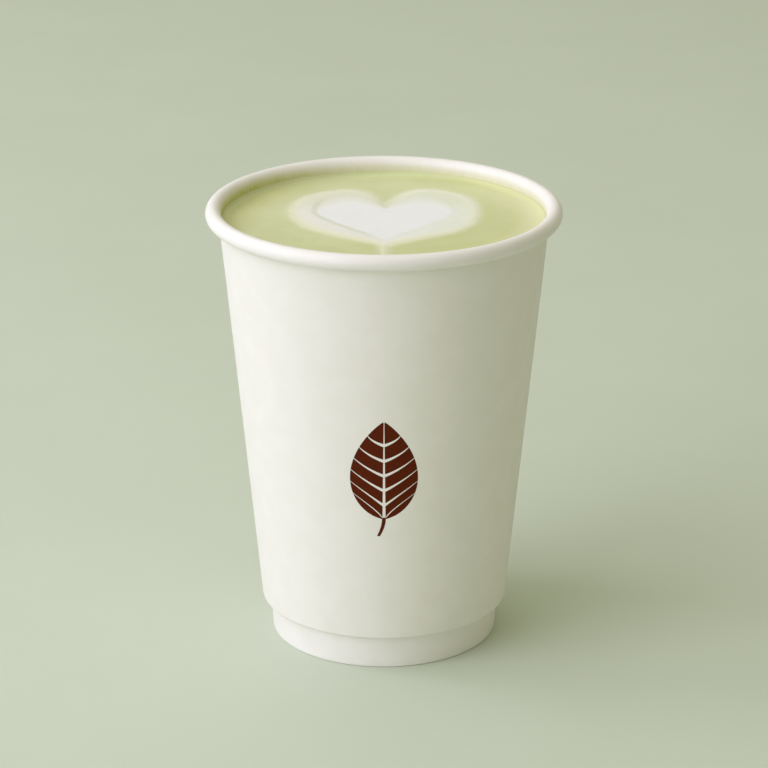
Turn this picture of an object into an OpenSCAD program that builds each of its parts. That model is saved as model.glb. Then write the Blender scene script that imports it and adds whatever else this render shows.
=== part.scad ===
// Hot matcha latte in a double-wall paper cup, with a milk-foam heart on the drink.
// The origin is the centre of the foot on the table, +Z is up and the front faces -Y.

/* [Cup] */
// Diameter over the rolled rim
rim_d = 90; // [70:1:110]
// Height from the table to the top of the rim
cup_h = 115; // [80:1:180]
// Thickness of the inner cup's paper
cup_paper = 0.4; // [0.3:0.05:0.5]
// Width of the rolled rim, from the inside of the cup to the outside
rim_w = 4; // [3.4:0.1:6]
// Height of the rolled rim
rim_h = 4.35; // [3:0.05:5]

/* [Foot] */
// Diameter of the foot ring at the table
foot_d = 58.2; // [45:0.2:68]
// How much wider the foot ring is at its top
foot_flare = 1.2; // [0.4:0.1:2]
// Height of the foot ring that shows below the outer wall
foot_h = 9.3; // [8:0.1:16]
// Height of the cup's floor above the table
floor_h = 7; // [5.8:0.1:8]
// Height of the paper that is folded up inside the foot
hem_h = 4.6; // [2.5:0.1:4.8]

/* [Outer wall] */
// Thickness of the outer wall's paper
wall_paper = 0.4; // [0.25:0.05:0.5]
// Width of the rolled bead that holds the outer wall off the inner cup
bead_w = 2; // [1.5:0.1:3]
// Width of the glued lap where the outer wall's paper meets itself at the back
lap_w = 8; // [4:0.5:14]

/* [Drink] */
// Free height from the drink to the top of the rim
headspace = 4.5; // [4.3:0.1:40]
// How far the drink climbs up the wall at its edge
meniscus_h = 1.1; // [0.3:0.1:2]
// How far in from the wall the climb starts
meniscus_w = 1.6; // [0.4:0.1:3]

/* [Heart of milk foam] */
// Width of the heart
heart_w = 48; // [20:1:58]
// Height of the heart from its tip to its lobes
heart_l = 49.7; // [20:0.1:59]
// Length of the tail that is drawn out of the tip
tail_l = 9; // [4:0.5:11]
// Depth of the foam below the drink's surface
foam_depth = 1.6; // [0.8:0.1:4]
// How far the foam stands above the drink's surface
foam_proud = 0.25; // [0.1:0.05:0.5]
// Width of the green line that parts the heart from its outer band
line_w = 0.8; // [0.5:0.1:2]
// Width of the inner heart, as a share of the whole
inner_w = 0.73; // [0.5:0.01:0.78]
// Height of the inner heart, as a share of the whole
inner_l = 0.765; // [0.5:0.005:0.78]

/* [Hidden] */
$fn = 180;

fit = 0.05;            // clearance between layers that lie on each other
arc_step = 10;         // degrees between the points of a rolled edge
curl_tuck = 0.25;      // share by which half a turn of the rim's roll tightens
roll_end = -230;       // angle at which a rolled edge ends, inside itself
rim_clear = 0.1;       // gap between the rim's roll and the outer wall below it
hem_bend = 0.25;       // radius of the two folds at the bottom of the foot
disc_bend = 0.8;       // radius of the fold at the edge of the base disc
meniscus_lip = 0.12;   // thickness of the drink's edge at the wall
bezier_steps = 12;     // points on each curve of the heart
heart_mid = [0, 1.85]; // middle of the heart, a little behind the cup's axis
inner_mid = [0.3, 2];  // middle of the inner heart
line_share = 0.3;      // how far below its middle the green line runs down the inner heart
tail_w = 1.8;          // width of the tail where it leaves the heart

// Shape of each heart, in shares of its half-width and height: how high its cleft is, where
// its left and right lobe peak, the first handle of its left and right flank, and how high
// the flanks' second handle is
outer_shape = [0.73, [0.37, 0.45], [[0.15, 0.16], [0.5, 0.24]], 0.2];
inner_shape = [0.7, [0.5, 0.5], [[0.15, 0.1], [0.15, 0.1]], 0.46];

rim_r = rim_d / 2;
roll_c = [rim_r - rim_w / 2, cup_h - rim_h / 2];
roll_a = [rim_w - cup_paper, rim_h - cup_paper] / 2;

// Mid-line radii of the paper layers in the foot at the table, from the outside in
layer_step = cup_paper + fit;
foot_out_r = foot_d / 2 - cup_paper / 2;
foot_skirt_r = foot_out_r - layer_step;
foot_hem_r = foot_skirt_r - layer_step;
function foot_r(r0, z) = r0 + foot_flare / 2 / foot_h * z;

// Radii of the inner cup's wall at a height
wall_foot = [foot_r(foot_out_r, foot_h), foot_h];
wall_rim = [roll_c[0] - roll_a[0], roll_c[1]];
cup_slope = (wall_rim[0] - wall_foot[0]) / (wall_rim[1] - wall_foot[1]);
function cup_mid_r(z) =
    z < foot_h ? foot_r(foot_out_r, z) : wall_foot[0] + cup_slope * (z - foot_h);
function cup_in_r(z) = cup_mid_r(z) - cup_paper / 2;
function cup_out_r(z) = cup_mid_r(z) + cup_paper / 2;

// The outer wall: its mid-line at the top, and the bead that starts at the foot ring's top
wall_top_z = cup_h - rim_h - rim_clear;
wall_top = [cup_out_r(wall_top_z) + fit + wall_paper / 2, wall_top_z];
bead_r = (bead_w - wall_paper) / 2;
bead_c = [cup_out_r(foot_h + bead_w / 2) + fit + bead_w / 2, foot_h + bead_w / 2];
wall_tilt = atan((wall_top[0] - bead_c[0] - bead_r) / (wall_top_z - bead_c[1]));

level_z = cup_h - headspace;

// Points along an arc of an ellipse; below angle 0 each half turn tightens by tuck
function arc(c, a, from, to, tuck = 0) =
    let (n = ceil(abs(to - from) / arc_step))
    [for (i = [0:n])
        let (t = from + (to - from) * i / n, s = 1 - tuck * max(0, -t) / 180)
        [c[0] + a[0] * s * cos(t), c[1] + a[1] * s * sin(t)]];

// Unit normal to the left of the segment from a to b
function normal(a, b) = [a[1] - b[1], b[0] - a[0]] / norm(b - a);

// Offset direction at point i of a path, long enough to keep both segments parallel
function miter(p, i) =
    let (n1 = i > 0 ? normal(p[i - 1], p[i]) : normal(p[0], p[1]),
         n2 = i < len(p) - 1 ? normal(p[i], p[i + 1]) : n1)
    (n1 + n2) / (1 + n1 * n2);

// Outline of a strip of the given thickness along a path
function strip(p, t) = concat(
    [for (i = [0:len(p) - 1]) p[i] + miter(p, i) * t / 2],
    [for (i = [len(p) - 1:-1:0]) p[i] - miter(p, i) * t / 2]);

// Points of one cubic curve, without its last point
function bezier(a, b, c, d) =
    [for (i = [0:bezier_steps - 1])
        let (t = i / bezier_steps, u = 1 - t)
        a * u * u * u + b * 3 * u * u * t + c * 3 * u * t * t + d * t * t * t];

// One half of a heart of half-width 1 and height 1, from its tip up to its cleft; side 0 is
// its left and side 1 its right
function heart_half(shape, side) =
    let (lobe = shape[1][side])
    concat(
        bezier([0, 0], shape[2][side], [1, shape[3]], [1, 0.64]),
        bezier([1, 0.64], [1, 0.87], [lobe + 0.3, 1], [lobe, 1]),
        bezier([lobe, 1], [lobe - 0.22, 1], [0.12, 0.87], [0, shape[0]]));

// Outline of a heart of width w and height l about a middle
function heart(w, l, shape, mid) =
    let (right = heart_half(shape, 1), left = heart_half(shape, 0))
    [for (p = concat(right, [[0, shape[0]]],
        [for (i = [len(left) - 1:-1:1]) [-left[i][0], left[i][1]]]))
        [mid[0] + p[0] * w / 2, mid[1] + (p[1] - 0.5) * l]];

// The foam seen from above: a heart and its tail, less the green line round the inner heart
module foam_outline() {
    inner = [heart_w * inner_w, heart_l * inner_l];
    tip = heart_mid[1] - heart_l / 2;
    line_low = inner_mid[1] - inner[1] * line_share;
    difference() {
        union() {
            polygon(heart(heart_w, heart_l, outer_shape, heart_mid));
            polygon([[tail_w / 2, tip + tail_w], [-tail_w / 2, tip + tail_w], [0, tip - tail_l]]);
        }
        difference() {
            polygon(heart(inner[0] + 2 * line_w, inner[1] + 2 * line_w, inner_shape, inner_mid));
            polygon(heart(inner[0], inner[1], inner_shape, inner_mid));
            translate([-heart_w, line_low - heart_l])
                square([2 * heart_w, heart_l]);
        }
    }
}

// The foam's heart from its underside up to a height
module foam_prism(top_z) {
    translate([0, 0, level_z - foam_depth])
        linear_extrude(top_z - level_z + foam_depth)
            foam_outline();
}

// Inner cup: hem folded up inside the foot, foot ring, wall and rolled rim in one sheet
module inner_cup() {
    fold_z = cup_paper / 2 + hem_bend;
    bend = [hem_bend, hem_bend];
    color("ivory")
        rotate_extrude()
            polygon(strip(concat(
                [[foot_r(foot_hem_r, hem_h), hem_h]],
                arc([foot_r(foot_hem_r, fold_z) + hem_bend, fold_z], bend, 180, 270),
                arc([foot_r(foot_out_r, fold_z) - hem_bend, fold_z], bend, 270, 360),
                [wall_foot],
                arc(roll_c, roll_a, 180, roll_end, curl_tuck)), cup_paper));
}

// Base disc: the cup's floor, with a skirt that hangs between the foot's two layers
module base_disc() {
    disc_z = floor_h - cup_paper / 2;
    bend_z = disc_z - disc_bend;
    skirt_z = cup_paper + fit;
    bend_c = [foot_r(foot_skirt_r, bend_z) - disc_bend, bend_z];
    color("whitesmoke")
        rotate_extrude()
            polygon(strip(concat(
                [[foot_r(foot_skirt_r, skirt_z), skirt_z]],
                arc(bend_c, [disc_bend, disc_bend], 0, 90),
                [[0, disc_z]]), cup_paper));
}

// Path of the outer wall's paper from under the rim to the bead, moved out by shift
function wall_path(shift, end) = concat(
    [wall_top + [shift, 0]],
    arc(bead_c, [bead_r + shift, bead_r + shift], -wall_tilt, end));

// Outer wall: one sheet, lapped over itself at the back, its lower edge rolled in
module outer_wall() {
    lap_angle = lap_w / wall_top[0] * 180 / PI;
    color("white") {
        rotate_extrude()
            polygon(strip(wall_path(0, roll_end), wall_paper));
        rotate([0, 0, 90 - lap_angle / 2])
            rotate_extrude(angle = lap_angle)
                polygon(strip(wall_path(wall_paper, -90), wall_paper));
    }
}

// Drink: from the floor up to its level, with a raised edge, cut round the foam
module latte() {
    edge_z = level_z + meniscus_h;
    low_z = floor_h + fit;
    climb = arc([cup_in_r(edge_z) - fit - meniscus_lip - meniscus_w, edge_z],
        [meniscus_w, meniscus_h], 360, 270);
    color("darkkhaki")
        difference() {
            rotate_extrude()
                polygon(concat(
                    [[0, low_z], [cup_in_r(low_z) - fit, low_z],
                     [cup_in_r(foot_h) - fit, foot_h], [cup_in_r(edge_z) - fit, edge_z]],
                    climb, [[0, level_z]]));
            foam_prism(edge_z);
        }
}

// Foam heart: set into the drink, and a little proud of it
module heart_foam() {
    color("snow") foam_prism(level_z + foam_proud);
}

inner_cup();
base_disc();
outer_wall();
latte();
heart_foam();
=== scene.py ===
"""A hot matcha latte with a milk-foam heart, in a double-wall paper cup.

All sizes are in metres. The origin is the centre of the foot on the table, +Z is up and the
front faces -Y. Each paper piece is the outline of a bent sheet, carried round the cup's axis.
The drink and its foam are rings: outwards from the heart's outline to the wall, and inwards
from it to the heart's middle.
"""
import math

import bmesh
import bpy
import numpy as np
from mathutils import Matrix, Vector


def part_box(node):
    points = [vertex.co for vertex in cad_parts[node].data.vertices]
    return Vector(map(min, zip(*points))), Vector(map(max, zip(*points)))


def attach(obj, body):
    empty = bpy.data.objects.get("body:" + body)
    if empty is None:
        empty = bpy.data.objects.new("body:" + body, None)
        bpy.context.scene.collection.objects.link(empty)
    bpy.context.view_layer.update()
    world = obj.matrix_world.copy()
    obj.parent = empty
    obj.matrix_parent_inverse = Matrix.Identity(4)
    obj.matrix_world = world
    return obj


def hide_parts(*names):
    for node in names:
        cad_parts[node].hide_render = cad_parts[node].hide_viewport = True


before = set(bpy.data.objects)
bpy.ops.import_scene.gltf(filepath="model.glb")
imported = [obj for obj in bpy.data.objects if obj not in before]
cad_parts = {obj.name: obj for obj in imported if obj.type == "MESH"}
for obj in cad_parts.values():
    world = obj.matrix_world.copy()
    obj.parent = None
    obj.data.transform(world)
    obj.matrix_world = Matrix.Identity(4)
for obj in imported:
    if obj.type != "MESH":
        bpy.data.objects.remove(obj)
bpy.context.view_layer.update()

MM = 0.001

# Sizes that the frame gives
cup_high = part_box("inner_cup")[1]
wall_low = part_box("outer_wall")[0]
disc_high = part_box("base_disc")[1]
drink_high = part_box("latte")[1]
foam_low, foam_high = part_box("heart_foam")
RIM_R = cup_high.x
RIM_TOP = cup_high.z
FOOT_H = wall_low.z
FLOOR_TOP = disc_high.z
DRINK_R = drink_high.x
DRINK_EDGE = drink_high.z
HEART_W = foam_high.x - foam_low.x
HEART_TOP = foam_high.y
FOAM_BOTTOM = foam_low.z

# The paper and its folds
PAPER = 0.4 * MM
FIT = 0.05 * MM
FOOT_R = 29.1 * MM
FLARE = 0.6 * MM
RIM_W = 4.0 * MM
RIM_H = 4.35 * MM
RIM_CLEAR = 0.1 * MM
HEM_H = 4.6 * MM
HEM_BEND = 0.25 * MM
DISC_BEND = 0.8 * MM
BEAD_W = 2.0 * MM

# The rim and the bead roll round to this angle in degrees, and each half turn of the rim's roll
# is tighter by the share RIM_TUCK
ROLL_END = -230
RIM_TUCK = 0.25

# The outer wall's glued lap, and the angle in radians over which its upper layer climbs
LAP_W = 8.0 * MM
LAP_CLIMB = 0.06

# Traces of how the paper was worked
KNURLS = 60
KNURL_H = 0.12 * MM
WRINKLES = 80
WRINKLE_D = 0.035 * MM
RIM_LAP_AT = math.radians(100)
RIM_LAP_W = 6.6 * MM
RIM_LAP_H = 0.2 * MM
BOW = 0.04 * MM

# The drink and its heart of foam
FOAM_PROUD = 0.25 * MM
LEVEL = foam_high.z - FOAM_PROUD
CLIMB_W = 1.6 * MM
CLIMB_LIP = 0.12 * MM
LOW_BEND = 0.15 * MM
HEART_L = 49.7 * MM
TAIL_W = 1.8 * MM
INNER_W = 0.73
INNER_L = 0.765
INNER_MIDDLE = (0.3 * MM, 2.0 * MM)
HEART_EYE = np.array([0.0, 4.0 * MM])

# Shape of each heart, in shares of its half-width and height: how high its cleft is, where its
# left and right lobe peak, the first handle of its left and right flank, and how high the
# flanks' second handle is
OUTER_SHAPE = (0.73, (0.37, 0.45), ((0.15, 0.16), (0.5, 0.24)), 0.2)
INNER_SHAPE = (0.7, (0.5, 0.5), ((0.15, 0.1), (0.15, 0.1)), 0.46)

# The print
LEAF_H = 27.0 * MM
LEAF_W = 17.0 * MM
LEAF_Z = 57.0 * MM
STALK_H = 5.2 * MM
STALK_W = 1.0 * MM
STALK_BEND = 1.4 * MM
STALK_TUCK = 0.4 * MM
VEIN_SWEEP = 0.26
INK = 0.02 * MM

# Fineness of the meshes
COLUMNS = 480
HEART_COLUMNS = 960
HEM_ROWS = 12
FINE_Z = 106.0 * MM
WELD = 0.0005 * MM
SHARP = math.radians(40)


# ---------------------------------------------------------------- outlines

def arc(centre, radii, start, stop, count, tuck=0.0):
    """Points on an ellipse: centre plus the radii times the cosine and sine of each angle.
    Below angle 0 each half turn shortens both radii by the share tuck."""
    angle = np.radians(np.linspace(start, stop, count))
    size = 1 - tuck * np.maximum(0, -angle) / math.pi
    return np.column_stack([
        centre[0] + radii[0] * size * np.cos(angle),
        centre[1] + radii[1] * size * np.sin(angle),
    ])


def chain(*parts):
    """One path from several, without the points that repeat where two of them meet."""
    path = np.vstack(parts)
    step = np.hypot(*np.diff(path, axis=0).T)
    return path[np.concatenate([[True], step > WELD])]


def two_sides(path):
    """Left and right side of a sheet of paper whose mid-line is path. Each point moves half a
    thickness along the sum of the two neighbouring unit normals, over one plus their product,
    which keeps the thickness through a bend."""
    step = np.diff(path, axis=0)
    normal = np.column_stack([-step[:, 1], step[:, 0]]) / np.hypot(*step.T)[:, None]
    before = np.vstack([normal[:1], normal])
    after = np.vstack([normal, normal[-1:]])
    miter = (before + after) / (1 + (before * after).sum(1))[:, None]
    return path + miter * PAPER / 2, path - miter * PAPER / 2


def smooth(low, high, value):
    """Zero below low, one above high, and 3 t^2 - 2 t^3 between them."""
    share = np.clip((value - low) / (high - low), 0, 1)
    return share * share * (3 - 2 * share)


# ---------------------------------------------------------------- meshes

def put(name, data):
    """A new object of this mesh, lamp or lens in the scene, at the origin."""
    item = bpy.data.objects.new(name, data)
    bpy.context.scene.collection.objects.link(item)
    return item


def close_up(mesh):
    """Welds the points that fall together, as at a pole, and turns the faces outwards."""
    shape = bmesh.new()
    shape.from_mesh(mesh)
    bmesh.ops.remove_doubles(shape, verts=shape.verts, dist=WELD)
    bmesh.ops.recalc_face_normals(shape, faces=shape.faces)
    shape.to_mesh(mesh)
    shape.free()


def grid_piece(name, grid, attributes=None, wrap_rows=False):
    """A closed mesh over a grid of points (rows, columns, 3): a quad between each point and
    the next in its row and its column. The columns wrap round. The attributes give each point
    one number for each label."""
    rows, columns = grid.shape[:2]
    index = np.arange(rows * columns).reshape(rows, columns)
    here = index if wrap_rows else index[:-1]
    above = np.roll(index, -1, axis=0)[:len(here)]
    quads = np.stack([here, np.roll(here, -1, axis=1), np.roll(above, -1, axis=1), above], axis=-1)
    mesh = bpy.data.meshes.new(name)
    mesh.from_pydata(grid.reshape(-1, 3), [], quads.reshape(-1, 4))
    for label, values in (attributes or {}).items():
        layer = mesh.attributes.new(label, "FLOAT", "POINT")
        spread = np.broadcast_to(values, grid.shape[:2])
        layer.data.foreach_set("value", spread.ravel().astype(np.float32))
    close_up(mesh)
    mesh.polygons.foreach_set("use_smooth", np.ones(len(mesh.polygons), bool))
    mesh.set_sharp_from_angle(angle=SHARP)
    return put(name, mesh)


def turned(radius, height, angle):
    """Grid of points at the given radii and heights (rows, columns) and column angles."""
    return np.stack([radius * np.cos(angle), radius * np.sin(angle), height + 0 * radius], axis=-1)


def place(piece, material, slot, *nodes):
    """Gives a finished piece its material and hides the nodes it stands for. The slot is not used."""
    piece.data.materials.append(material)
    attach(piece, "root")
    if nodes:
        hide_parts(*nodes)


# ---------------------------------------------------------------- the cup's walls

def foot_r(start, height):
    """Mid-line radius of a layer of the foot, which widens evenly with height."""
    return start + FLARE / FOOT_H * height


layer_step = PAPER + FIT
foot_out_r = FOOT_R - PAPER / 2
foot_skirt_r = foot_out_r - layer_step
foot_hem_r = foot_skirt_r - layer_step
roll_centre = (RIM_R - RIM_W / 2, RIM_TOP - RIM_H / 2)
roll_radii = ((RIM_W - PAPER) / 2, (RIM_H - PAPER) / 2)
wall_foot = (foot_r(foot_out_r, FOOT_H), FOOT_H)
wall_rim = (roll_centre[0] - roll_radii[0], roll_centre[1])
cup_slope = (wall_rim[0] - wall_foot[0]) / (wall_rim[1] - wall_foot[1])


def cup_r(height):
    """Mid-line radius of the inner cup's wall above the foot."""
    return wall_foot[0] + cup_slope * (height - FOOT_H)


wall_top_z = RIM_TOP - RIM_H - RIM_CLEAR
wall_top = (cup_r(wall_top_z) + PAPER + FIT, wall_top_z)
bead_r = (BEAD_W - PAPER) / 2
bead_centre = (cup_r(FOOT_H + BEAD_W / 2) + PAPER / 2 + FIT + BEAD_W / 2, FOOT_H + BEAD_W / 2)
wall_lean = math.atan((wall_top[0] - bead_centre[0] - bead_r) / (wall_top_z - bead_centre[1]))


def bow(angle, height):
    """How far the outer wall's paper bows out: a slow wave round the cup and up it, because a
    glued sheet is never quite round. It fades out at the top and at the bead."""
    wave = np.sin(3 * angle + 1.0) + 0.6 * np.sin(5 * angle - 0.7 + 25 * height)
    fade = smooth(FOOT_H, 30 * MM, height) * (1 - smooth(95 * MM, wall_top_z, height))
    return BOW * wave * fade


def round_angles(extra=()):
    """Even angles round the cup, with a few more where a seam needs them."""
    even = np.arange(COLUMNS) * 2 * math.pi / COLUMNS
    return np.unique(np.concatenate([even, np.asarray(extra) % (2 * math.pi)]))


def inner_cup():
    """The inner cup: hem, foot, wall and rolled rim, one sheet. The hem's inner face is
    knurled: its radius waves with the angle. At the back the rim is a little thicker, where
    the sheet's two edges lap."""
    fold_z = PAPER / 2 + HEM_BEND
    bend = (HEM_BEND, HEM_BEND)
    path = chain(
        np.linspace((foot_r(foot_hem_r, HEM_H), HEM_H), (foot_r(foot_hem_r, fold_z), fold_z), HEM_ROWS),
        arc((foot_r(foot_hem_r, fold_z) + HEM_BEND, fold_z), bend, 180, 270, 6),
        arc((foot_r(foot_out_r, fold_z) - HEM_BEND, fold_z), bend, 270, 360, 6),
        np.linspace((foot_r(foot_out_r, fold_z), fold_z), wall_foot, 6),
        np.linspace((cup_r(FINE_Z), FINE_Z), wall_rim, 16),
        arc(roll_centre, roll_radii, 180, ROLL_END, 44, RIM_TUCK),
    )
    inside, outside = two_sides(path)
    outline = np.vstack([inside, outside[::-1]])
    angle = round_angles()
    radius = outline[:, :1] + 0 * angle
    height = outline[:, 1:] + 0 * angle
    # knurled hem: rounded ridges on the face that looks to the axis
    hem = np.zeros(len(outline))
    hem[:HEM_ROWS] = smooth(0, 1, np.sin(np.linspace(0, math.pi, HEM_ROWS)))
    ridge = 0.5 - 0.5 * np.cos(KNURLS * angle)
    radius = radius - KNURL_H * hem[:, None] * ridge
    # lap of the sheet's two edges: a soft ridge on the rim's outer side
    seam = np.abs((angle - RIM_LAP_AT + math.pi) % (2 * math.pi) - math.pi) * RIM_R
    lap = 1 - smooth(RIM_LAP_W / 2 - 2 * PAPER, RIM_LAP_W / 2, seam)
    rim = smooth(RIM_R - 1.2 * MM, RIM_R, outline[:, :1])
    radius = radius + RIM_LAP_H * rim * lap
    # drink stain on the inside, which thins out up the wall, plus painted shade: at the back left, where
    # the wall lies in shade, the mark reaches higher and is darker
    shaded_side = smooth(math.radians(100), math.radians(150), angle)
    shaded_side = shaded_side * (1 - smooth(math.radians(200), math.radians(290), angle))
    drink_stain_and_shade = 1 - smooth(0.2 * MM, 2.2 * MM + 1.0 * MM * shaded_side, height - DRINK_EDGE)
    drink_stain_and_shade = drink_stain_and_shade * (0.45 + 0.55 * shaded_side)
    wet_side = np.zeros(len(outline))
    wet_side[:len(path)] = 1
    wet_side = wet_side * (outline[:, 1] > RIM_TOP / 2) * (outline[:, 0] < roll_centre[0])
    drink_stain_and_shade = drink_stain_and_shade * wet_side[:, None]
    return grid_piece("inner_cup_board", turned(radius, height, angle), {"drink_stain_and_shade": drink_stain_and_shade}, True)


def base_disc():
    """The cup's floor: a flat disc whose edge bends down into a skirt between the foot's two
    layers. Fine wrinkles run round the bend, where the flat sheet was drawn in."""
    disc_z = FLOOR_TOP - PAPER / 2
    bend_z = disc_z - DISC_BEND
    skirt_z = PAPER + FIT
    path = chain(
        np.linspace((foot_r(foot_skirt_r, skirt_z), skirt_z), (foot_r(foot_skirt_r, bend_z), bend_z), 8),
        arc((foot_r(foot_skirt_r, bend_z) - DISC_BEND, bend_z), (DISC_BEND, DISC_BEND), 0, 90, 10),
        np.linspace((foot_r(foot_skirt_r, bend_z) - DISC_BEND, disc_z), (0, disc_z), 24),
    )
    outside, inside = two_sides(path)
    outline = np.vstack([outside, inside[::-1]])
    angle = round_angles()
    radius = np.maximum(outline[:, :1], 0) + 0 * angle
    near_bend = smooth(bend_z - DISC_BEND, bend_z, outline[:, 1:])
    near_bend = near_bend * smooth(radius.max() - 4 * MM, radius.max(), radius)
    wrinkle = 0.5 - 0.5 * np.cos(WRINKLES * angle + 2 * np.sin(7 * angle))
    radius = radius - WRINKLE_D * near_bend * wrinkle
    height = outline[:, 1:] + 0 * angle
    return grid_piece("base_board", turned(radius, height, angle), wrap_rows=True)


def outer_wall():
    """The outer wall: one sheet whose lower edge is rolled in to a bead. At the back its two
    ends lap: the outer layer climbs on over a few millimetres and stops at a cut edge."""
    path = chain(
        np.linspace(wall_top, (bead_centre[0] + bead_r * math.cos(wall_lean),
                               bead_centre[1] - bead_r * math.sin(wall_lean)), 26),
        arc(bead_centre, (bead_r, bead_r), -math.degrees(wall_lean), ROLL_END, 24),
    )
    outside, inside = two_sides(path)
    outline = np.vstack([outside, inside[::-1]])
    # only the outer face climbs, and less and less round the bead
    outer = np.zeros(len(outline))
    outer[:len(path)] = 1 - smooth(len(path) - 20, len(path) - 8, np.arange(len(path)))
    # two columns of points stand close together at the cut edge
    back = math.pi / 2
    cut = back + LAP_W / 2 / wall_top[0]
    ramp = back - LAP_W / 2 / wall_top[0]
    edge = 0.01 * MM / wall_top[0]
    climb = np.linspace(ramp, ramp + LAP_CLIMB, 9)
    angle = round_angles(np.concatenate([[cut - edge, cut + edge], climb]))
    layer = smooth(ramp, ramp + LAP_CLIMB, angle) * (angle < cut)
    radius = outline[:, :1] + outer[:, None] * layer * PAPER
    radius = radius + bow(angle, outline[:, 1:])
    height = outline[:, 1:] + 0 * angle
    return grid_piece("outer_wall_board", turned(radius, height, angle), wrap_rows=True)


# ---------------------------------------------------------------- the drink and its heart

def bezier(a, b, c, d, count):
    """Cubic curve without its last point: the four points weighted by u^3, 3 u^2 t, 3 u t^2
    and t^3, with u = 1 - t."""
    t = np.arange(count)[:, None] / count
    u = 1 - t
    a, b, c, d = np.array([a, b, c, d])
    return a * u ** 3 + b * 3 * u * u * t + c * 3 * u * t * t + d * t ** 3


def half_heart(shape, side, count=160):
    """One half of a heart of half-width 1 and height 1, as if it were the right one: three
    cubic curves from its tip to its widest point, over the lobe and down into the cleft."""
    cleft, lobes, handles, high = shape
    lobe = lobes[side]
    widest = (1, 0.64)
    return np.vstack([
        bezier((0, 0), handles[side], (1, high), widest, count),
        bezier(widest, (1, 0.87), (lobe + 0.3, 1), (lobe, 1), count),
        bezier((lobe, 1), (lobe - 0.22, 1), (0.12, 0.87), (0, cleft), count),
    ])


def heart(width, length, shape, middle):
    """Closed outline of a heart about its middle, anticlockwise from its tip."""
    right = half_heart(shape, 1)
    left = half_heart(shape, 0)[:0:-1] * (-1, 1)
    points = np.vstack([right, [[0, shape[0]]], left])
    return np.array(middle) + (points - (0, 0.5)) * (width / 2, length)


def reach(outline, angle):
    """How far a star-shaped outline lies from the heart's eye in each direction: the distances
    of its points, interpolated over their angles."""
    arm = outline - HEART_EYE
    at = np.arctan2(arm[:, 1], arm[:, 0]) % (2 * math.pi)
    order = np.argsort(at)
    return np.interp(angle % (2 * math.pi), at[order], np.hypot(*arm.T)[order], period=2 * math.pi)


def to_outline(points, outline):
    """Distance from each point to a closed outline: the least over its straight pieces of the
    length left when the nearest point of the piece is taken away."""
    start = outline[::4]
    side = np.roll(start, -1, axis=0) - start
    best = np.full(points.shape[:-1], np.inf)
    for origin, run in zip(start, side):
        away = points - origin
        share = np.clip((away @ run) / (run @ run), 0, 1)
        best = np.minimum(best, np.hypot(*np.moveaxis(away - share[..., None] * run, -1, 0)))
    return best


def tail_outline(tip_y):
    """The tail: a thin triangle drawn out of the heart's tip to the front."""
    return np.array([[TAIL_W / 2, tip_y + TAIL_W], [-TAIL_W / 2, tip_y + TAIL_W], [0, foam_low.y]])


def foam_outline():
    """Closed outline of the foam, star-shaped about the heart's eye: in each direction the
    farther of the heart and its tail, with its points spread evenly along it."""
    middle = (0, HEART_TOP - HEART_L / 2)
    shape = heart(HEART_W, HEART_L, OUTER_SHAPE, middle)
    tail = tail_outline(HEART_TOP - HEART_L)
    tail = np.vstack([np.linspace(tail[0], tail[2], 200), np.linspace(tail[2], tail[1], 200)])
    arm = np.vstack([shape, tail]) - HEART_EYE
    angle = np.sort(np.arctan2(arm[:, 1], arm[:, 0]) % (2 * math.pi))
    in_tail = np.abs(angle - 1.5 * math.pi) < np.arctan(TAIL_W / 2 / (HEART_EYE[1] - tail[0, 1]))
    far = np.maximum(reach(shape, angle), np.where(in_tail, reach(tail, angle), 0))
    points = HEART_EYE + far[:, None] * np.column_stack([np.cos(angle), np.sin(angle)])
    closed = np.vstack([points, points[:1]])
    along = np.concatenate([[0], np.cumsum(np.hypot(*np.diff(closed, axis=0).T))])
    even = np.arange(HEART_COLUMNS) * along[-1] / HEART_COLUMNS
    return np.column_stack([np.interp(even, along, closed[:, i]) for i in (0, 1)])


outer_heart = foam_outline()
inner_heart = heart(HEART_W * INNER_W, HEART_L * INNER_L, INNER_SHAPE, INNER_MIDDLE)


def heart_fields(points):
    """Signed distances in millimetres, positive inside: from the foam's outline and from the
    inner heart's outline."""
    arm = points - HEART_EYE
    angle = np.arctan2(arm[..., 1], arm[..., 0])
    away = np.hypot(arm[..., 0], arm[..., 1])
    foam_sign = np.where(away < reach(outer_heart, angle), 1, -1)
    inner_sign = np.where(away < reach(inner_heart, angle), 1, -1)
    foam = to_outline(points, outer_heart) * foam_sign
    inner = to_outline(points, inner_heart) * inner_sign
    return foam / MM, inner / MM


def surface_height(points, foam, inner):
    """Height of the drink's surface: level, a slow ripple, the foam's soft rise over 4 mm, a
    faint trough along the line round the inner heart, and a quarter ellipse up the wall."""
    x, y = points[..., 0] / MM, points[..., 1] / MM
    ripple = 0.02 * (np.sin(0.31 * x + 0.17 * y) + np.sin(0.23 * y - 0.11 * x + 2))
    rise = 0.2 * smooth(-1.5, 2.5, foam)
    trough = 0.05 * np.exp(-((inner + 0.4) / 0.8) ** 2) * smooth(0, 2, foam)
    radius = np.hypot(points[..., 0], points[..., 1])
    near = np.clip((radius - (DRINK_R - CLIMB_LIP - CLIMB_W)) / CLIMB_W, 0, 1)
    climb = (DRINK_EDGE - LEVEL) * (1 - np.sqrt(1 - near ** 2))
    return LEVEL + (ripple * (1 - near) + rise - trough) * MM + climb


def ring(radius):
    """Points where the rays from the heart's eye through the foam's outline meet a circle
    about the cup's axis: the eye plus the ray's direction times the positive root of the
    quadratic for that radius."""
    arm = outer_heart - HEART_EYE
    ray = arm / np.hypot(*arm.T)[:, None]
    along = ray @ HEART_EYE
    return HEART_EYE + ray * (np.sqrt(along ** 2 + radius ** 2 - HEART_EYE @ HEART_EYE) - along)[:, None]


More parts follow.
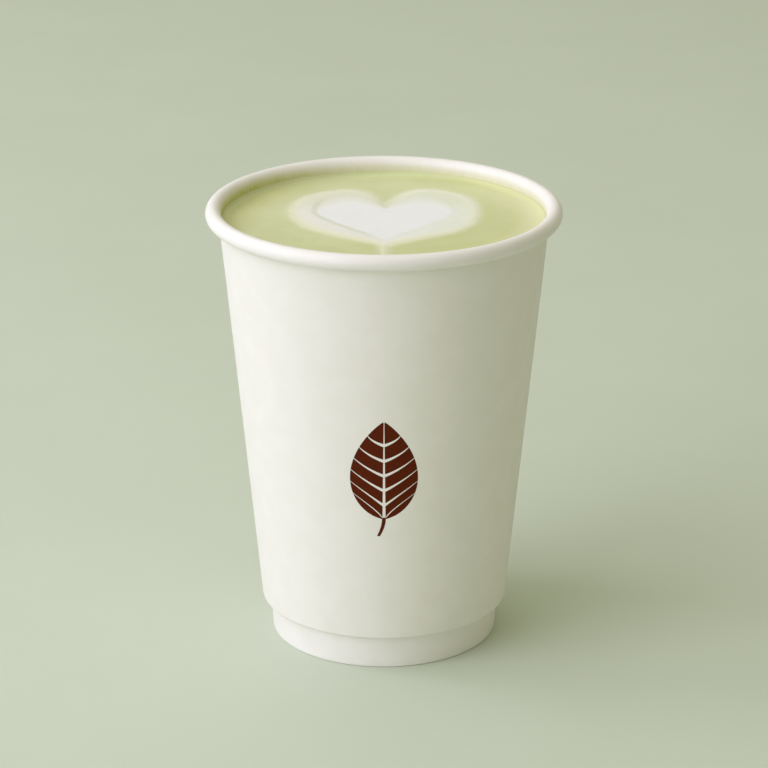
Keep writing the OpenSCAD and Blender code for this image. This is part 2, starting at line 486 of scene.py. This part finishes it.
def drink_attributes(points):
    """What the drink's finish reads at each point: its distances in millimetres from the foam's outline,
    the inner heart and the wall, and which side of the cup it lies towards, for the painted light at the
    wall."""
    foam, inner = heart_fields(points)
    wall = (DRINK_R - np.hypot(points[..., 0], points[..., 1])) / MM
    # 1 at the front right, where the drink takes a painted reflection of the lit wall, and -1 opposite,
    # at the back left, where it takes painted shade
    lit_wall_side = np.cos(np.arctan2(points[..., 1], points[..., 0]) + math.radians(20))
    return {"foam": foam, "inner": inner, "wall": wall, "lit_wall_side": lit_wall_side}


def milk_surface(top):
    """Grid of the surface over plan points, and what its finish reads there."""
    values = drink_attributes(top)
    return np.dstack([top, surface_height(top, values["foam"], values["inner"])]), values


def level_row(points, height):
    """A row of grid points at one height. A single point is repeated along the row."""
    flat = np.broadcast_to(points, (HEART_COLUMNS, 2))
    return np.column_stack([flat, np.full(HEART_COLUMNS, height)])


def under_foam():
    """Rows of the flat face where the foam lies in the drink: its middle and its outline."""
    return [level_row(HEART_EYE, FOAM_BOTTOM), level_row(outer_heart, FOAM_BOTTOM)]


def spread_rows(values, before, after):
    """The attributes with their first and last row repeated over rows before and after."""
    return {label: np.pad(value, ((before, after), (0, 0)), mode="edge")
            for label, value in values.items()}


def drink():
    """The drink: its surface on rings from the foam's outline to the wall, then down the
    wall's inside and over the floor to the axis, with a pocket that holds the foam."""
    calm = ring(DRINK_R - CLIMB_LIP - CLIMB_W)
    share = np.linspace(0, 1, 46)[:, None, None] ** 1.3
    climb = DRINK_R - CLIMB_LIP - CLIMB_W * np.cos(np.linspace(0, math.pi / 2, 11)[1:])
    top = np.concatenate([outer_heart + (calm - outer_heart) * share, [ring(r) for r in climb],
                          [ring(DRINK_R)]])
    surface, values = milk_surface(top)
    floor_r = cup_r(FOOT_H) - PAPER / 2 - FIT
    low = FLOOR_TOP + FIT
    down = [level_row(ring(floor_r), FOOT_H), level_row(ring(floor_r - LOW_BEND), low),
            level_row(ring(floor_r) * 0.5, low), level_row((0, 0), low)]
    pocket = under_foam()
    grid = np.concatenate([pocket, surface, down])
    return grid_piece("matcha_drink", grid, spread_rows(values, len(pocket), len(down)))


def heart_foam():
    """The foam: its surface on rings that shrink from its outline to the heart's eye, then
    down to a flat underside in the drink's pocket."""
    share = 1 - np.linspace(0, 1, 60)[:, None, None] ** 1.25
    top = HEART_EYE + (outer_heart - HEART_EYE) * share
    surface, values = milk_surface(top)
    under = under_foam()
    grid = np.concatenate([under, surface])
    return grid_piece("milk_foam_heart", grid, spread_rows(values, len(under), 0))


# ---------------------------------------------------------------- the print

def wall_r(angle, height):
    """Radius of the outer wall's printed face: the straight line from its top to its bead, half
    a thickness across its lean, and its bow."""
    lean = (wall_top[0] - bead_centre[0] - bead_r * math.cos(wall_lean)) / (
        wall_top_z - bead_centre[1] + bead_r * math.sin(wall_lean))
    middle = wall_top[0] - lean * (wall_top_z - height)
    return middle + PAPER / 2 / math.cos(wall_lean) + bow(angle, height)


def blade_width(share):
    """Half-width of the leaf at a share of its height: a power of the share times a power of
    the rest, scaled to peak at half the leaf's width. It is full and round low down, and drawn
    out to a point at the top."""
    share = np.clip(share, 0, 1)
    return LEAF_W / 2 * 2.72 * share ** 0.62 * (1 - share) ** 0.85


def leaf_panel(side, low, high):
    """One panel of the blade between two side veins, as plan points (across, up). Its lines
    leave the midrib and sweep up to the margin, by a power of the way out times a power of the
    height that is left, and the gap at each vein closes towards the margin."""
    out = np.linspace(0, 1, 17)[None, :]
    gap = 0.016 * (1 - 0.75 * out)
    start = np.linspace(0, 1, 9)[:, None]
    first = (low + gap) + start * (high - low - 2 * gap)
    sweep = VEIN_SWEEP * out ** 1.15 * (1 - np.clip(first, 0, 1)) ** 0.7
    up = np.clip(first + sweep, 0, 1)
    width = blade_width(up)
    midrib = np.minimum(0.32 * MM * (1.25 - up), width)
    across = side * (midrib + (width - midrib) * out)
    return across, up * LEAF_H


def leaf_print():
    """A tea leaf printed on the front: panels between its veins and a short stalk, wrapped on
    the wall. Each is a thin closed patch: a printed face, and the same face a little deeper."""
    # where the veins leave the midrib, in shares of the leaf's height: the lowest panel's own
    # start lies below the leaf, so that its outer end fills the base of the blade
    veins = np.array([-VEIN_SWEEP, 0.0, 0.15, 0.3, 0.45, 0.6, 0.76, 1.0])
    patches = [leaf_panel(side, low, high)
               for side in (-1, 1) for low, high in zip(veins[:-1], veins[1:])]
    run = np.linspace(0, 1, 12)[:, None]
    across = np.linspace(-1, 1, 5)[None, :]
    stalk_x = across * STALK_W / 2 * (1 - 0.2 * run) - STALK_BEND * run ** 2
    patches.append((stalk_x, STALK_TUCK - STALK_H * run + 0 * across))
    points = []
    quads = []
    count = 0
    for flat_x, flat_z in patches:
        rows, columns = flat_x.shape
        height = LEAF_Z - LEAF_H / 2 + flat_z * math.cos(wall_lean)
        angle = -math.pi / 2 + flat_x / wall_r(-math.pi / 2, height)
        face = wall_r(angle, height)
        layers = np.stack([turned(face + lift, height, angle) for lift in (-INK, INK)])
        index = count + np.arange(2 * rows * columns).reshape(2, rows, columns)
        for layer in index:
            quads.append(np.stack([layer[:-1, :-1], layer[:-1, 1:], layer[1:, 1:], layer[1:, :-1]], -1))
        loop = np.concatenate([index[:, 0, :-1], index[:, :-1, -1], index[:, -1, :0:-1],
                               index[:, :0:-1, 0]], axis=1)
        quads.append(np.stack([loop[0], np.roll(loop[0], -1), np.roll(loop[1], -1), loop[1]], -1))
        points.append(layers.reshape(-1, 3))
        count += layers.size // 3
    mesh = bpy.data.meshes.new("leaf_print")
    mesh.from_pydata(np.vstack(points), [], np.vstack([q.reshape(-1, 4) for q in quads]))
    close_up(mesh)
    return put("leaf_print", mesh)


# ---------------------------------------------------------------- materials

# Settings that many nodes share. A Map Range takes 0 its value, 1 and 2 where its step starts
# and ends, and 3 and 4 what it goes from and to. A colour Mix takes 0 its share, 6 and 7 its
# colours, and its result is output 2.
SOFT_STEP = {"interpolation_type": "SMOOTHSTEP"}
COLOURS = {"take": 2, "data_type": "RGBA"}
TIMES = {"operation": "MULTIPLY"}
PLUS = {"operation": "ADD"}
MINUS = {"operation": "SUBTRACT"}


def linear(hex_colour):
    """sRGB hex to linear light: c / 12.92 up to 0.04045, else ((c + 0.055) / 1.055) ^ 2.4."""
    value = np.array([int(hex_colour[i:i + 2], 16) for i in (1, 3, 5)]) / 255
    value = np.where(value <= 0.04045, value / 12.92, ((value + 0.055) / 1.055) ** 2.4)
    return (*value.tolist(), 1.0)


def grain(size):
    """Scale that gives a pattern grains of this size in millimetres."""
    return 1 / (size * MM)


def add(tree, kind, inputs, take=0, **settings):
    """Adds a node with its settings, gives its inputs their values or links, and returns the
    output numbered take, if it has outputs."""
    node = tree.nodes.new("ShaderNode" + kind)
    for key, value in settings.items():
        setattr(node, key, value)
    for key, value in inputs.items():
        if isinstance(value, bpy.types.NodeSocket):
            tree.links.new(value, node.inputs[key])
        else:
            node.inputs[key].default_value = value
    return node.outputs[take] if node.outputs else None


def start_material(name):
    """An empty node material, its tree and its Object coordinates."""
    material = bpy.data.materials.new(name)
    material.use_nodes = True
    material.node_tree.nodes.clear()
    place_on = add(material.node_tree, "TexCoord", {}, take=3)
    return material, material.node_tree, place_on


def paperboard(name, tone, shade, roughness, drink_stain_and_shade=False):
    """Bleached paperboard, calendered: a warm white sheet of short wood fibres, so its tone is faintly
    cloudy and its skin faintly fibrous. Uncoated it is matt. With a polyethylene film on the inside of a
    cup it has a soft satin gloss, and drink leaves a thin olive stain on it, to which painted shade is
    added where the cup's wall is shaded."""
    material, tree, place_on = start_material(name)
    cloud = add(tree, "TexNoise", {"Vector": place_on, "Scale": grain(6), "Detail": 3.0})
    cloud = add(tree, "MapRange", {0: cloud, 1: 0.35, 2: 0.65}, **SOFT_STEP)
    colour = add(tree, "Mix", {0: cloud, 6: linear(tone), 7: linear(shade)}, **COLOURS)
    along = add(tree, "Mapping", {"Vector": place_on, "Scale": [grain(0.5), grain(0.5), grain(1.25)]})
    # wood fibres, drawn coarser than they are so that they show
    fibre = add(tree, "TexNoise", {"Vector": along, "Scale": 1.0, "Detail": 3.0, "Roughness": 0.65})
    rough = add(tree, "MapRange",
                {0: fibre, 1: 0.3, 2: 0.7, 3: roughness - 0.04, 4: roughness + 0.04}, **SOFT_STEP)
    normal = add(tree, "Bump", {"Height": fibre, "Distance": 0.02 * MM, "Strength": 0.35})
    if drink_stain_and_shade:
        # a thin olive drink stain, with painted shade where it is darker on the cup's shaded side
        stain_and_shade = add(tree, "Attribute", {}, take=2, attribute_name="drink_stain_and_shade")
        run = add(tree, "Mapping", {"Vector": place_on, "Scale": [grain(1.5), grain(1.5), grain(2.25)]})
        streak = add(tree, "TexNoise", {"Vector": run, "Scale": 1.0, "Detail": 3.0})
        streak = add(tree, "MapRange", {0: streak, 1: 0.3, 2: 0.7, 3: 0.85, 4: 1.1}, **SOFT_STEP)
        stain_and_shade = add(tree, "Math", {0: stain_and_shade, 1: streak}, **TIMES)
        colour = add(tree, "Mix", {0: stain_and_shade, 6: colour, 7: linear("#CBCB76")}, **COLOURS)
        gloss = add(tree, "Math", {0: stain_and_shade, 1: 0.15}, **TIMES)
        rough = add(tree, "Math", {0: rough, 1: gloss}, **MINUS)
    finish = {"Base Color": colour, "Roughness": rough, "IOR": 1.5, "Normal": normal}
    surface = add(tree, "BsdfPrincipled", finish)
    add(tree, "OutputMaterial", {"Surface": surface})
    return material


def drink_colour(tree, foam, wall, lit_wall_side, swirl):
    """The drink's colour: greens in slow swirls, with faint flow lines that follow the heart's outline,
    paler by the heart. Near the wall it has a painted reflection of the lit wall and painted shade on
    the lip at the front right, and a painted shadow of the rim at the back left."""
    side = add(tree, "MapRange", {0: lit_wall_side, 1: -0.9, 2: 0.8}, **SOFT_STEP)
    green = add(tree, "Mix", {0: side, 6: linear("#DBE1AF"), 7: linear("#D4D99C")}, **COLOURS)
    depth = add(tree, "MapRange", {0: swirl, 1: 0.32, 2: 0.68, 3: 0.35, 4: 0.0}, **SOFT_STEP)
    green = add(tree, "Mix", {0: depth, 6: green, 7: linear("#C6CA90")}, **COLOURS)
    # flow lines about 8 mm apart: the sine of the distance from the foam, which the swirl bends
    wander = add(tree, "Math", {0: swirl, 1: 0.5}, **MINUS)
    wander = add(tree, "Math", {0: wander, 1: 14.0}, **TIMES)
    wave = add(tree, "Math", {0: foam, 1: wander}, **PLUS)
    wave = add(tree, "Math", {0: wave, 1: 0.8}, **TIMES)
    flow = add(tree, "Math", {0: wave}, operation="SINE")
    flow = add(tree, "MapRange", {0: flow, 1: -1.0, 2: 1.0, 3: 0.0, 4: 0.12}, **SOFT_STEP)
    green = add(tree, "Mix", {0: flow, 6: green, 7: linear("#E0E4C0")}, **COLOURS)
    milky = add(tree, "MapRange", {0: foam, 1: -5.0, 2: -1.0, 3: 0.0, 4: 0.12}, **SOFT_STEP)
    green = add(tree, "Mix", {0: milky, 6: green, 7: linear("#E4E8C6")}, **COLOURS)
    # painted reflection of the lit wall: pale drink near it at the front right
    right = add(tree, "MapRange", {0: lit_wall_side, 1: 0.1, 2: 1.1}, **SOFT_STEP)
    near = add(tree, "MapRange", {0: wall, 1: 0.8, 2: 10.0, 3: 0.55, 4: 0.0}, **SOFT_STEP)
    wall_reflection = add(tree, "Math", {0: right, 1: near}, **TIMES)
    green = add(tree, "Mix", {0: wall_reflection, 6: green, 7: linear("#EEEDC8")}, **COLOURS)
    # painted shade on the lip that climbs the wall there, which darkens its lit face
    right = add(tree, "MapRange", {0: lit_wall_side, 1: -0.2, 2: 0.8}, **SOFT_STEP)
    near = add(tree, "MapRange", {0: wall, 1: 1.8, 2: 0.2, 3: 0.0, 4: 0.3}, **SOFT_STEP)
    lip_shade = add(tree, "Math", {0: right, 1: near}, **TIMES)
    green = add(tree, "Mix", {0: lip_shade, 6: green, 7: linear("#CDCF8C")}, **COLOURS)
    # painted shadow of the rim on the drink at the back left: strongest about 4 mm from the wall
    rise = add(tree, "MapRange", {0: wall, 1: 0.5, 2: 4.0, 3: 0.5, 4: 1.0}, **SOFT_STEP)
    fall = add(tree, "MapRange", {0: wall, 1: 3.5, 2: 12.0, 3: 0.37, 4: 0.0}, **SOFT_STEP)
    left = add(tree, "MapRange", {0: lit_wall_side, 1: -0.75, 2: -1.0}, **SOFT_STEP)
    rim_shadow = add(tree, "Math", {0: rise, 1: fall}, **TIMES)
    rim_shadow = add(tree, "Math", {0: left, 1: rim_shadow}, **TIMES)
    return add(tree, "Mix", {0: rim_shadow, 6: green, 7: linear("#BDBB66")}, **COLOURS)


def foam_colour(tree, place_on, foam, inner):
    """The foam's colour: a creamy border, a band tinged with matcha, more so at the lobes and
    on the right, and a white heart inside it. The line round the white heart is matcha
    coloured on the left and fades to the right, the tip and the lobes."""
    across, back = [add(tree, "SeparateXYZ", {"Vector": place_on}, take=axis) for axis in (0, 1)]
    lobes = add(tree, "MapRange", {0: back, 1: 6 * MM, 2: 17 * MM}, **SOFT_STEP)
    slant = add(tree, "Math", {0: back, 1: 0.3}, **TIMES)
    slant = add(tree, "Math", {0: across, 1: slant}, **PLUS)
    right = add(tree, "MapRange", {0: slant, 1: -4 * MM, 2: 20 * MM}, **SOFT_STEP)
    band = add(tree, "Mix", {0: right, 6: linear("#F6F5EE"), 7: linear("#F1F5E7")}, **COLOURS)
    tinge = add(tree, "Math", {0: lobes, 1: 0.6}, **TIMES)
    band = add(tree, "Mix", {0: tinge, 6: band, 7: linear("#E6E9CC")}, **COLOURS)
    border = add(tree, "Mix", {0: right, 6: linear("#F3F2DA"), 7: linear("#F5F7E4")}, **COLOURS)
    past_border = add(tree, "MapRange", {0: foam, 1: 1.2, 2: 3.2}, **SOFT_STEP)
    band = add(tree, "Mix", {0: past_border, 6: border, 7: band}, **COLOURS)
    # the white heart, whose edge is sharp low down and soft at the lobes
    reach_in = add(tree, "Math", {0: lobes, 1: 7.0}, **TIMES)
    reach_in = add(tree, "Math", {0: reach_in, 1: 1.2}, **PLUS)
    heart_share = add(tree, "MapRange", {0: inner, 1: -1.5, 2: reach_in}, **SOFT_STEP)
    white = add(tree, "Mix", {0: heart_share, 6: band, 7: linear("#F9FAFC")}, **COLOURS)
    # the line, between its outer and its inner edge
    line = add(tree, "MapRange", {0: inner, 1: -1.9, 2: -0.5}, **SOFT_STEP)
    for where, start, stop, low, high in (
            (inner, 0.9, -0.4, 0.0, 1.0),
            (across, -6 * MM, 12 * MM, 0.55, 0.12),
            (back, -18 * MM, -10 * MM, 0.0, 1.0),
            (back, 19 * MM, 13 * MM, 0.25, 1.0)):
        fade = add(tree, "MapRange", {0: where, 1: start, 2: stop, 3: low, 4: high}, **SOFT_STEP)
        line = add(tree, "Math", {0: line, 1: fade}, **TIMES)
    white = add(tree, "Mix", {0: line, 6: white, 7: linear("#D6DAC4")}, **COLOURS)
    # faint curls of matcha in the white
    curl_at = add(tree, "Mapping", {"Vector": place_on, "Scale": [grain(5), grain(9), grain(5)]})
    curl = add(tree, "TexNoise", {"Vector": curl_at, "Scale": 1.0, "Detail": 3.0})
    curl_in = add(tree, "MapRange", {0: curl, 1: 0.52, 2: 0.6, 4: 0.1}, **SOFT_STEP)
    curl_out = add(tree, "MapRange", {0: curl, 1: 0.68, 2: 0.6}, **SOFT_STEP)
    curl = add(tree, "Math", {0: curl_in, 1: curl_out}, **TIMES)
    return add(tree, "Mix", {0: curl, 6: white, 7: linear("#DDE2D6")}, **COLOURS)


def matcha_milk(name):
    """Matcha stirred into steamed milk, under a skin of microfoam: an opaque pale yellow-green
    with faint flow lines. White milk foam was poured into it, so the heart's edges wobble and
    bleed a little. The wet skin has a soft gloss, the foam a drier one."""
    material, tree, place_on = start_material(name)
    foam, inner, wall, lit_wall_side = [add(tree, "Attribute", {}, take=2, attribute_name=label)
                                for label in ("foam", "inner", "wall", "lit_wall_side")]
    swirl = add(tree, "TexNoise",
                {"Vector": place_on, "Scale": grain(12), "Detail": 4.0, "Roughness": 0.6})
    green = drink_colour(tree, foam, wall, lit_wall_side, swirl)
    wobble = add(tree, "TexNoise", {"Vector": place_on, "Scale": grain(2.5), "Detail": 3.0})
    wobble = add(tree, "Math", {0: wobble, 1: 0.5}, **MINUS)
    foam = add(tree, "Math", {0: foam, 1: wobble}, **PLUS)
    inner = add(tree, "Math", {0: inner, 1: wobble}, **PLUS)
    white = foam_colour(tree, place_on, foam, inner)
    bleed = add(tree, "MapRange", {0: foam, 1: -2.4, 2: 1.9}, **SOFT_STEP)
    colour = add(tree, "Mix", {0: bleed, 6: green, 7: white}, **COLOURS)
    # the skin: fine bubbles, drawn coarser than they are so that they show, and slow swirls
    bubble = add(tree, "TexVoronoi", {"Vector": place_on, "Scale": grain(0.45)})
    bubble = add(tree, "MapRange", {0: bubble, 1: 0.0, 2: 0.35}, **SOFT_STEP)
    normal = add(tree, "Bump", {"Height": bubble, "Distance": 0.015 * MM, "Strength": 0.5})
    normal = add(tree, "Bump",
                 {"Height": swirl, "Distance": 0.1 * MM, "Strength": 0.3, "Normal": normal})
    rough = add(tree, "MapRange", {0: foam, 1: -1.0, 2: 1.0, 3: 0.26, 4: 0.38}, **SOFT_STEP)
    finish = {"Base Color": colour, "Roughness": rough, "IOR": 1.36, "Normal": normal}
    surface = add(tree, "BsdfPrincipled", finish)
    add(tree, "OutputMaterial", {"Surface": surface})
    return material


def printing_ink(name):
    """Water-based printing ink soaked into board: a flat dark brown, a shade uneven where the
    fibres take it up. It is matt and porous, so it reflects less than a smooth skin would."""
    material, tree, place_on = start_material(name)
    uptake = add(tree, "TexNoise",
                 {"Vector": place_on, "Scale": grain(0.8), "Detail": 4.0, "Roughness": 0.7})
    share = add(tree, "MapRange", {0: uptake, 1: 0.3, 2: 0.7}, **SOFT_STEP)
    colour = add(tree, "Mix", {0: share, 6: linear("#551D04"), 7: linear("#5E2206")}, **COLOURS)
    normal = add(tree, "Bump", {"Height": uptake, "Distance": 0.01 * MM, "Strength": 0.4})
    finish = {"Base Color": colour, "Roughness": 0.7, "IOR": 1.2, "Normal": normal}
    surface = add(tree, "BsdfPrincipled", finish)
    add(tree, "OutputMaterial", {"Surface": surface})
    return material


def painted_floor(name):
    """A matt painted studio floor in pale sage, faintly uneven in tone."""
    material, tree, place_on = start_material(name)
    tone = add(tree, "TexNoise", {"Vector": place_on, "Scale": grain(60), "Detail": 5.0})
    share = add(tree, "MapRange", {0: tone, 1: 0.3, 2: 0.7}, **SOFT_STEP)
    colour = add(tree, "Mix", {0: share, 6: linear("#CCD5C2"), 7: linear("#CED7C4")}, **COLOURS)
    finish = {"Base Color": colour, "Roughness": 0.8}
    surface = add(tree, "BsdfPrincipled", finish)
    add(tree, "OutputMaterial", {"Surface": surface})
    return material


# ---------------------------------------------------------------- the object

cup_board = paperboard("film_coated_paperboard", "#F5F2ED", "#F3F0EA", 0.5, drink_stain_and_shade=True)
wall_board = paperboard("bleached_paperboard", "#F4F1EA", "#F2EFE7", 0.6)
place(inner_cup(), cup_board, "cup_board", "inner_cup")
place(base_disc(), cup_board, "cup_board", "base_disc")
place(outer_wall(), wall_board, "wall_board", "outer_wall")
matcha = matcha_milk("matcha_milk_microfoam")
place(drink(), matcha, "drink", "latte")
place(heart_foam(), matcha, "milk_foam", "heart_foam")
place(leaf_print(), printing_ink("brown_printing_ink"), "print")


# ---------------------------------------------------------------- studio

# Colours of the lights: a cool key, a nearly white top light and a warm fill
KEY = "#ECEAFF"
TOP = "#FFFFF2"
FILL = "#FFFDDC"

# How far off each kind of light stands and how wide it is, in metres, and the height that all
# of them face
LARGE = (1.8, 1.5)
SMALL = (1.2, 0.35)
AIM_Z = 60.0 * MM

# The floor, and the degrees by which the camera looks down
STUDIO_R = 4.0
LOOK_DOWN = 20.12


def soft_light(name, azimuth, elevation, kind, power, colour):
    """A square soft light that faces the cup. Azimuth 0 is in front and 90 is on the right."""
    distance, size = kind
    lamp = bpy.data.lights.new(name, "AREA")
    lamp.size = size
    lamp.energy = power
    lamp.color = linear(colour)[:3]
    turn, lift = math.radians(azimuth), math.radians(elevation)
    aim = Vector((0, 0, AIM_Z))
    away = Vector((math.sin(turn) * math.cos(lift), -math.cos(turn) * math.cos(lift), math.sin(lift)))
    item = put(name, lamp)
    item.location = aim + away * distance
    item.rotation_euler = away.to_track_quat("Z", "Y").to_euler()


def studio():
    """A wide pale floor under an even glow from all round. Large soft lights stand on the left,
    one low and one high, with two small ones that brighten the cup's left edge and rim, and
    weaker large ones hang behind the cup and over it."""
    around = np.linspace(0, 2 * math.pi, 97)[:-1]
    edge = np.column_stack([STUDIO_R * np.cos(around), STUDIO_R * np.sin(around), 0 * around])
    mesh = bpy.data.meshes.new("floor")
    mesh.from_pydata(edge, [], [list(range(len(edge)))])
    mesh.materials.append(painted_floor("matt_sage_paint"))
    floor = put("floor", mesh)
    soft_light("key", -52, 22, LARGE, 16.8, KEY)
    soft_light("key_high", -75, 45, LARGE, 8.0, KEY)
    soft_light("kicker", -70, 12, SMALL, 0.9, KEY)
    soft_light("kicker_back", -100, 42, SMALL, 1.8, KEY)
    soft_light("back_left", -135, 35, LARGE, 3.2, KEY)
    soft_light("overhead", 0, 88, LARGE, 5.0, TOP)
    soft_light("back", 180, 40, LARGE, 1.8, FILL)
    world = bpy.data.worlds.new("studio")
    world.use_nodes = True
    glow = world.node_tree.nodes["Background"]
    glow.inputs["Color"].default_value = linear(FILL)
    glow.inputs["Strength"].default_value = 0.36
    bpy.context.scene.world = world
    bpy.context.scene.view_settings.view_transform = "Standard"


def camera():
    """A long lens in front of the cup, a little above it and looking down at it by LOOK_DOWN
    degrees."""
    lens = bpy.data.cameras.new("camera")
    lens.sensor_width = 36.0
    lens.lens = 144.5
    lens.clip_start = 0.05
    lens.clip_end = 20.0
    view = put("camera", lens)
    view.location = (0.0, -744.2 * MM, 339.1 * MM)
    view.rotation_euler = (math.radians(90 - LOOK_DOWN), 0, 0)
    bpy.context.scene.camera = view


studio()
camera()
